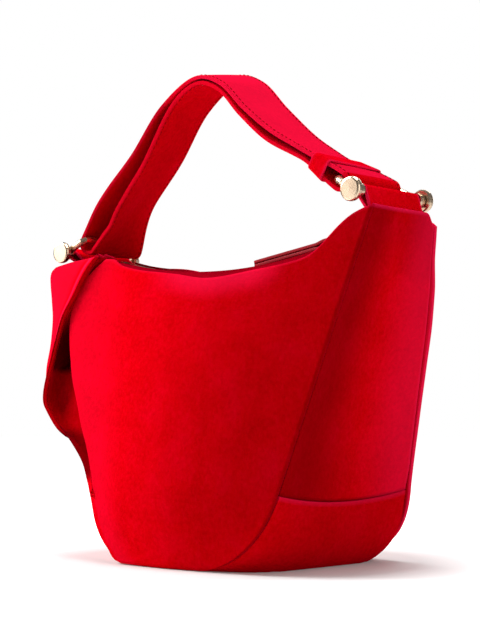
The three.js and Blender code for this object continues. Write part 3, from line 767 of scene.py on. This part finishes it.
def base_panel():
    """One band under the bag and up both ends, a little fuller than the CAD's at the ends."""
    stations = [(LEFT, t) for t in steps(26, 1, 0)] + [(None, t) for t in steps(10)[1:-1]]
    stations += [(RIGHT, t) for t in steps(26, 0, 1)]

    def cell(station, across):
        end, t = station
        if end is None:
            x, z = mix(-flat_end(LEFT), flat_end(RIGHT), t), 0.0
            depth = seam_depth(0) - BAND_CLEARANCE + 2 * math.sin(math.pi * t)
            return (x, across * depth, z), 0.0, BASE_SHADE
        angle = t * math.acos(1 - (seam_line(across) - GAP / 2) / end["radius"])
        crown = 1 - across**4 * (0.62 if across > 0 and end is RIGHT else 1)
        belly = end["fullness"] * max(math.sin(math.pi * t), 0) ** 1.3 * crown
        lip = smooth((t - 0.9) / 0.1)
        reach = end["radius"] + belly + 0.7 * lip
        x = end["side"] * (flat_end(end) + reach * math.sin(angle))
        z = max(end["radius"] - reach * math.cos(angle), 0.0) + 0.35 * lip
        y = across * (seam_depth(z) - BAND_CLEARANCE)
        x += left_tuck(y, z) if end is LEFT else 0.0
        return (x, y, z), 0.6 * edge_band((1 - t) * 50, 1.4), BASE_SHADE

    made = loft("base_panel_suede", stations, steps(48, -1, 1), cell, suede)
    face_outward(made, lambda p: Vector((p.x * 0.01, 0, -1)))
    thicken(made, SKIN, bevel=SEAM_ROUND)
    dress(made, "bag_body", "suede", "base_panel")


front_panel()
back_panel()
right_gusset()
left_gusset()
base_panel()


# ---- lining -------------------------------------------------------------------------
LINING_FLOOR = 5.2


def lining():
    """Cloth sack with a crumpled wall, closed by a flat floor over the base board."""
    def ring_at(share):
        points = []

        def put(side, along, across):
            rim = min(RIM(along) - 8, LINING_TOP)
            z = mix(LINING_FLOOR, rim, share)
            room = SKIN / 2 + 2 * GAP
            depth = panel_depth(along, z) if across is None else seam_depth(z)
            y = (side if across is None else across) * (depth - room - SKIN - 0.8)
            hollow = 0.0 if across is None else 3.5 * (1 - across**2)
            x = across_bag(along, z, SKIN + GAP + 4.2 + hollow)
            crumple = abs(ripple(x, y, z, 20, 4.0) * smooth(share * 4))
            if across is None:
                y -= math.copysign(crumple, y)
            else:
                x -= math.copysign(crumple, along)
            points.append((x, y, z))

        for along in steps(40, -1, 1)[:-1]:
            put(-1, along, None)
        for across in steps(18, -1, 1)[:-1]:
            put(0, 1, across)
        for along in steps(40, 1, -1)[:-1]:
            put(1, along, None)
        for across in steps(18, 1, -1)[:-1]:
            put(0, -1, across)
        return points

    levels = [0, 0.02, 0.05, 0.09] + steps(30, 0.13, 1)
    rings = [ring_at(share) for share in levels]
    size = len(rings[0])
    points = [p for ring in rings for p in ring] + [(0, 0, LINING_FLOOR)]
    faces = ring_faces(len(rings), size)
    faces += [(len(points) - 1, (k + 1) % size, k) for k in range(size)]
    made = make_object("lining_sack", points, faces, lining_cloth)
    face_outward(made, lambda p: Vector((p.x, p.y * 2, 0)))
    thicken(made, 1.0)
    dress(made, "bag_body", "lining_cloth", "lining")


lining()

# ---- zip facings, tapes and pull ----------------------------------------------------
ZIP_CENTRE_X = -3.0
ZIP_RADIUS = 386.0
ZIP_LOW_Z = 177.0
ZIP_HALF_ANGLE = 14.6
TAPE_HALF_ANGLE = ZIP_HALF_ANGLE + 1.1
TAPE_INNER = 3.6
TAPE_THICKNESS = 0.8
FACING_EDGE = 10.5
FACING_SPAN = 0.92
FACING_THICKNESS = 1.4
SLIDER_ANGLE = 14.0
TOOTH_HEIGHT = 3.0


def zip_point(degrees, y, lift):
    a = math.radians(degrees)
    reach = ZIP_RADIUS - lift
    return Vector((ZIP_CENTRE_X + reach * math.sin(a), y,
                   ZIP_LOW_Z + ZIP_RADIUS - reach * math.cos(a)))


def facing(side, label):
    def cell(along, t):
        across = along * FACING_SPAN
        z = RIM(across) - 0.8
        y = side * (panel_depth(across, z) + 1 - SKIN - 2.2 * GAP)
        lift = TAPE_THICKNESS / 2 + GAP + FACING_THICKNESS
        end = zip_point(along * TAPE_HALF_ANGLE, side * (FACING_EDGE + 0.1), lift)
        p = Vector((across_bag(across, z, 2), y, z)).lerp(end, t)
        p.z += 0.6 * math.sin(math.pi * t) * ripple(p.x, 0, 0, 30, side)
        return p, edge_band((1 - t) * 20, 1.5), 0.0

    made = loft(f"zip_facing_{label}_suede", steps(90, -1, 1), steps(14), cell, shaded_facing_suede)
    face_outward(made, lambda p: Vector((0, 0, 1)))
    thicken(made, FACING_THICKNESS, bevel=0.5)
    dress(made, "bag_body", "suede_facing", f"zip_facing_{label}")


def tape(side, label):
    def cell(angle, y):
        return zip_point(angle, side * y, TAPE_THICKNESS / 2), 0.0, 0.0

    made = loft(f"zip_tape_{label}_cloth", steps(90, -TAPE_HALF_ANGLE, TAPE_HALF_ANGLE),
                steps(6, TAPE_INNER, FACING_EDGE - GAP), cell, tape_cloth)
    face_outward(made, lambda p: Vector((0, 0, 1)))
    thicken(made, TAPE_THICKNESS)
    dress(made, "bag_body", "zip_tape", f"zip_tape_{label}")


for side, label in ((-1, "front"), (1, "back")):
    facing(side, label)
    tape(side, label)


def onto_zip(degrees):
    """Places a piece drawn level round the origin onto the zip's arc."""
    return Matrix.Translation(zip_point(degrees, 0, 0)) @ Matrix.Rotation(
        -math.radians(degrees), 4, "Y")


LINK_FAR = -13.4
LINK_WIRE = 0.9
PULL_LEATHER = 2.1
FOLD_RADIUS = LINK_WIRE + GAP
LINK_Z = TOOTH_HEIGHT / 2 + GAP + FOLD_RADIUS + PULL_LEATHER
PULL_LENGTH = 62.0
PULL_HALF_WIDTH = 6.0
PULL_DROOP = 6.0


def pull_tab():
    """Leather strip folded round the link, narrowed and rounded at its free end."""
    middle = FOLD_RADIUS + PULL_LEATHER / 2
    lie = PULL_LEATHER / 2 + 0.15

    def leg(t):
        x = LINK_FAR - 4 - t * (PULL_LENGTH - 4)
        return x, mix(lie, middle, smooth((x - LINK_FAR + 10) / 7))

    path = [(*leg(t), t) for t in steps(22, 1, 0)]
    path += [(LINK_FAR + middle * math.sin(a), middle * math.cos(a), 0)
             for a in steps(14, 0, math.pi)]
    path += [(leg(t)[0], -leg(t)[1], t) for t in steps(22)]
    droop = (Matrix.Translation((LINK_FAR, 0, LINK_Z))
             @ Matrix.Rotation(math.radians(PULL_DROOP), 4, "Y"))
    place = onto_zip(SLIDER_ANGLE) @ droop @ Matrix.Translation((-LINK_FAR, 0, 0))

    def cell(station, w):
        x, z, t = station
        round_off = math.sqrt(max(1 - max((t - 0.93) / 0.07, 0) ** 2, 0.0))
        half = PULL_HALF_WIDTH * mix(0.45, 1.0, round_off)
        # painted highlight over the whole tab, with rubbed wear added at its edges
        wear_and_highlight = mix(0.3, 0.6, smooth((abs(w) - 0.75) / 0.25))
        return place @ Vector((x, half * w, z)), wear_and_highlight, 0.0

    made = loft("zip_pull_leather", path, steps(12, -1, 1), cell, pull_leather)
    thicken(made, PULL_LEATHER - 0.2, offset=0, bevel=0.5)
    dress(made, "zip_tab_body", "pull_leather", "zip_pull_tab")


pull_tab()

# ---- tabs round the pins ------------------------------------------------------------
PIN_RADIUS = 2.0
TAB_HALF_WIDTH = 25.0
TAB_THICKNESS = 3.2
TAB_PLY = 1.5


def yaw_about(x, degrees):
    return (Matrix.Translation((x, 0, 0)) @ Matrix.Rotation(math.radians(degrees), 4, "Z")
            @ Matrix.Translation((-x, 0, 0)))


def pin_tab(end):
    """Suede tab: one ply up from inside the bag, over the pin and down again."""
    name, side, top = end["name"], end["side"], end["top"]
    pin = Vector(end["pin"])

    def inside(height):
        room = end["tab_inset"] + SKIN + GAP + TAB_THICKNESS / 2 + 0.6
        return Vector((side * (end_reach(end, height) - room), height))

    knee = inside(top - 3)
    foot = inside(max(top - 20, LINING_TOP + 4))
    down = (knee - pin).normalized()
    normal = Vector((-down.y, down.x))
    leg = normal * (TAB_PLY / 2 + 0.05)
    leg_at_foot = Vector((math.copysign(TAB_PLY / 2 + 0.05, normal.x), 0))
    wrap = PIN_RADIUS + GAP + TAB_PLY / 2
    low = foot + leg_at_foot
    path = [low] + [knee.lerp(low, t) + leg * (1 - t) for t in (0.6, 0.25)] + [knee + leg]
    path += [(knee + leg).lerp(pin + normal * wrap, t) for t in (0.25, 0.5, 0.75)]
    turn_from = math.atan2(normal.y, normal.x)
    path += [pin + wrap * Vector((math.cos(turn_from + a), math.sin(turn_from + a)))
             for a in steps(16, 0, math.pi)]
    path += [(pin - normal * wrap).lerp(knee - leg, t) for t in (0.25, 0.5, 0.75)]
    path += [(knee - leg).lerp(foot - leg_at_foot, t) for t in (0.0, 0.4, 0.75, 1.0)]
    curve = through(list(enumerate(path)))
    dense = [curve(i) for i in steps(len(path) * 4, 0, len(path) - 1)]
    swing = yaw_about(pin.x, end["yaw"])

    def cell(p, w):
        place = swing @ Vector((p.x, w * TAB_HALF_WIDTH, p.y))
        return place, edge_band((1 - abs(w)) * TAB_HALF_WIDTH, 1.4), 0.0

    made = loft(f"{name}_tab_suede", dense, steps(30, -1, 1), cell, suede)
    face_outward(made, lambda p: Vector((p.x - pin.x, 0, p.z - pin.y)))
    thicken(made, TAB_PLY, offset=0, bevel=0.4)
    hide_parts(f"{name}_tab")
    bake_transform(made)


pin_tab(LEFT)
pin_tab(RIGHT)

# ---- strap handle -------------------------------------------------------------------
STRAP_HALF_WIDTH = 25.0
STRAP_PLY = 2.6
STRAP_LINE = [(-119.3, 203.5), (-105.8, 229), (-75, 258.5), (-48.5, 288), (-19.5, 302.5),
              (0.5, 296), (20, 277.5), (43.5, 258), (63.5, 245.3), (82.5, 233.5),
              (100.4, 222.1)]
STRAP_STEPS = 160
TURN_STEPS = 16
STITCH_AT = 0.9
KEEPER_START, KEEPER_END = 0.905, 0.955
KEEPER_ROUND = 2.3


def centripetal(points, samples=40):
    """Centripetal Catmull-Rom curve through points. Read at a share of its length, it gives
    the place and the direction there."""
    ends = [points[0] * 2 - points[1], *points, points[-1] * 2 - points[-2]]
    dense = []
    for i in range(len(points) - 1):
        p0, p1, p2, p3 = ends[i:i + 4]
        d0, d1, d2 = [max((b - a).length, 1e-6) ** 0.5
                      for a, b in ((p0, p1), (p1, p2), (p2, p3))]
        t1 = ((p1 - p0) / d0 - (p2 - p0) / (d0 + d1) + (p2 - p1) / d1) * d1
        t2 = ((p2 - p1) / d1 - (p3 - p1) / (d1 + d2) + (p3 - p2) / d2) * d1
        for k in range(samples):
            t = k / samples
            dense.append(p1 * (2 * t**3 - 3 * t**2 + 1) + t1 * (t**3 - 2 * t**2 + t)
                         + p2 * (3 * t**2 - 2 * t**3) + t2 * (t**3 - t**2))
    dense.append(points[-1])
    lengths = [0.0]
    for a, b in zip(dense, dense[1:]):
        lengths.append(lengths[-1] + (b - a).length)

    def read(share):
        wanted = min(max(share, 0), 1) * lengths[-1]
        low, high = 0, len(lengths) - 2
        while low < high:
            mid = (low + high + 1) // 2
            low, high = (mid, high) if lengths[mid] <= wanted else (low, mid - 1)
        span = max(lengths[low + 1] - lengths[low], 1e-9)
        here = dense[low].lerp(dense[low + 1], (wanted - lengths[low]) / span)
        a, b = dense[max(low - 2, 0)], dense[min(low + 3, len(dense) - 1)]
        return here, (b - a).normalized()

    return read


strap_curve = centripetal([Vector(p) for p in STRAP_LINE])
STRAP_LEAN = through([(0, -0.09), (0.05, -0.15), (0.16, -0.16), (0.27, -0.17), (0.36, -0.19),
                      (0.5, -0.2), (0.6, -0.18), (0.7, -0.16), (0.8, -0.16), (0.88, -0.14),
                      (0.95, -0.05), (1, 0)])


def strap_lean(t):
    """Where the strap's back edge lies from its middle, per millimetre of half width."""
    return Vector((STRAP_LEAN(t), 1, 0.2 * math.sin(math.pi * t) ** 2))


# How far the inner ply's front edge hangs away from the outer ply at each share of length.
PLY_PARTING = through([(0, 3.5), (0.03, 7), (0.07, 12), (0.13, 12.5), (0.2, 10), (0.28, 7.5),
                       (0.36, 4.5), (0.42, 1), (0.47, 0), (0.6, 0), (0.68, 0.8), (0.76, 1.8),
                       (0.84, 1), (0.9, 0), (1, 0)])


def ply_spread(t):
    """How far the middle of each ply lies from the strap's line, wider round the bows."""
    return mix(2.1, 5.2, smooth(1 - min(t, 1 - t) / 0.14))


def parting(index, count, t):
    """Which way and how far the parting moves one point of the strap's closed path."""
    if index < count // 2:
        return Vector((0, 0, 0))
    along = strap_curve(t)[1]
    fade = smooth((count - index) / (TURN_STEPS - 1))
    return Vector((along.y, 0, -along.x)) * (PLY_PARTING(t) * fade)


def strap_path(offset):
    """Closed path round both plies, a distance outside the middle of each ply: the outer ply,
    the right turn, the inner ply and the left turn."""
    path = []

    def place(t, turn_by):
        centre, along = strap_curve(t)
        out = Vector((-along.y, along.x))
        out = Vector((out.x * math.cos(turn_by) + out.y * math.sin(turn_by),
                      out.y * math.cos(turn_by) - out.x * math.sin(turn_by)))
        p = centre + out * (ply_spread(t) + offset)
        path.append((t, Vector((p.x, 0, p.y)), Vector((out.x, 0, out.y))))

    for start, end, turned in ((0, 1, 0), (1, 0, math.pi)):
        for t in steps(STRAP_STEPS, start, end):
            place(t, turned)
        for s in steps(TURN_STEPS)[1:-1]:
            place(end, turned + s * math.pi)
    return path


def strap():
    path = strap_path(0)
    widths = [-1, -0.985, -0.95] + steps(16, -0.88, 0.88) + [0.95, 0.985, 1]

    def cell(station, w):
        index, (t, p, out) = station
        outer_ply = index <= STRAP_STEPS
        channel = 0.35 * math.exp(-(((abs(w) - STITCH_AT) * STRAP_HALF_WIDTH) / 0.9) ** 2)
        crown = 0.25 * (1 - w * w)
        place = p + strap_lean(t) * STRAP_HALF_WIDTH * w + out * (crown - channel - 0.2)
        place += parting(index, len(path), t) * ((1 - w) / 2)
        # painted highlight on the outer ply from near the crown to the right end
        lit = 0.42 * smooth((t - 0.42) / 0.1) if outer_ply else 0.0
        wear_and_highlight = max(0.2 * edge_band((1 - abs(w)) * STRAP_HALF_WIDTH, 1.4), lit)
        # painted shade on the outer ply toward its front edge, from the left end to the crown,
        # where the plies part
        between = 0.42 * smooth((0.5 - w) / 1.2) * smooth((0.44 - t) / 0.08)
        return place, wear_and_highlight, between if outer_ply else 0.0

    stations = list(enumerate(path))
    made = loft("handle_strap_suede", stations, widths, cell, suede, closed=True)
    face_outward(made, lambda p: Vector((p.x, 0, p.z - 200)))
    thicken(made, STRAP_PLY - 0.3, offset=0, bevel=0.7)
    dress(made, "handle_body", "suede", "handle_strap")


def keeper():
    """Suede band round both plies, with rounded corners."""
    def section(t):
        centre, along = strap_curve(t)
        out = Vector((-along.y, 0, along.x))
        sideways = strap_lean(t)
        high = ply_spread(t) + STRAP_PLY / 2 + 0.7 - KEEPER_ROUND
        wide = sideways.length * STRAP_HALF_WIDTH + 0.8 - KEEPER_ROUND
        sideways.normalize()
        middle = Vector((centre.x, 0, centre.y))
        points = []
        for v, w, start in ((1, 1, 0), (1, -1, 0.25), (-1, -1, 0.5), (-1, 1, 0.75)):
            for a in steps(4, start, start + 0.25):
                turn_by = 2 * math.pi * a
                points.append(middle + out * (v * high + KEEPER_ROUND * math.sin(turn_by))
                              + sideways * (w * wide + KEEPER_ROUND * math.cos(turn_by)))
        return points

    rows = [section(t) for t in steps(10, KEEPER_START, KEEPER_END)]
    last, size = len(rows) - 1, len(rows[0])
    wear_and_highlight = [edge_band(min(r, last - r) * 2.2, 2.5) for r in range(len(rows))
            for _ in range(size)]
    made = make_object("strap_keeper_suede", [p for row in rows for p in row],
                       ring_faces(len(rows), size), suede, wear_and_highlight)
    x, z = strap_curve((KEEPER_START + KEEPER_END) / 2)[0]
    face_outward(made, lambda p: Vector((p.x - x, p.y * 0.1, p.z - z)))
    thicken(made, 1.1, offset=0, bevel=0.4)
    dress(made, "handle_body", "suede", "strap_keeper")


strap()
keeper()


# ---- stitching ----------------------------------------------------------------------
STITCH_LENGTH = 2.6
STITCH_RADIUS = 0.33
STITCH_PITCH = 3.6
STITCH_RINGS = (-1, -0.55, 0.0, 0.55, 1)
STITCH_SIDES = 6


def stitch_row(name, points, normals, body):
    """A run of short thread stitches, each lying along the path and sunk at its ends."""
    verts, faces = [], []
    distance, target = 0.0, STITCH_PITCH / 2
    for (a, b), up in zip(zip(points, points[1:]), normals):
        span = (b - a).length
        while span > 0 and target <= distance + span:
            centre = a.lerp(b, (target - distance) / span)
            along = (b - a).normalized()
            across = along.cross(up).normalized()
            first = len(verts)
            for s in STITCH_RINGS:
                thick = STITCH_RADIUS * math.sqrt(max(1 - s * s, 0.04))
                for k in range(STITCH_SIDES):
                    turn_by = 2 * math.pi * k / STITCH_SIDES
                    verts.append(centre + along * (s * STITCH_LENGTH / 2)
                                 + across * (thick * math.cos(turn_by))
                                 + up * (thick * math.sin(turn_by) - 0.25 * s * s))
            faces += ring_faces(len(STITCH_RINGS), STITCH_SIDES, first)
            last = len(verts) - STITCH_SIDES
            faces.append(tuple(first + k for k in reversed(range(STITCH_SIDES))))
            faces.append(tuple(last + k for k in range(STITCH_SIDES)))
            target += STITCH_PITCH
        distance += span
    made = make_object(name, verts, faces, stitch_thread)
    dress(made, body, "suede")


def strap_stitches():
    path = strap_path(STRAP_PLY / 2 - 0.2)
    half = len(path) // 2
    for ply, span in (("outer", range(half)), ("inner", range(half, len(path)))):
        for label, w in (("front", -STITCH_AT), ("back", STITCH_AT)):
            points, normals = [], []
            for index in span:
                t, p, out = path[index]
                part = parting(index, len(path), t) * ((1 - w) / 2)
                points.append(p + strap_lean(t) * STRAP_HALF_WIDTH * w + part)
                normals.append(out)
            stitch_row(f"strap_stitches_{ply}_{label}", points, normals, "handle_body")


strap_stitches()

# ---- hardware and hidden parts keep their CAD shape ---------------------------------
METAL_WORDS = ("pin", "knob", "bow", "teeth", "stop", "slider", "link")

for name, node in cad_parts.items():
    finish = gold if any(word in name for word in METAL_WORDS) else None
    if name == "base_board":
        finish = board_fibre
    if finish:
        for slot in node.material_slots:
            slot.material = finish
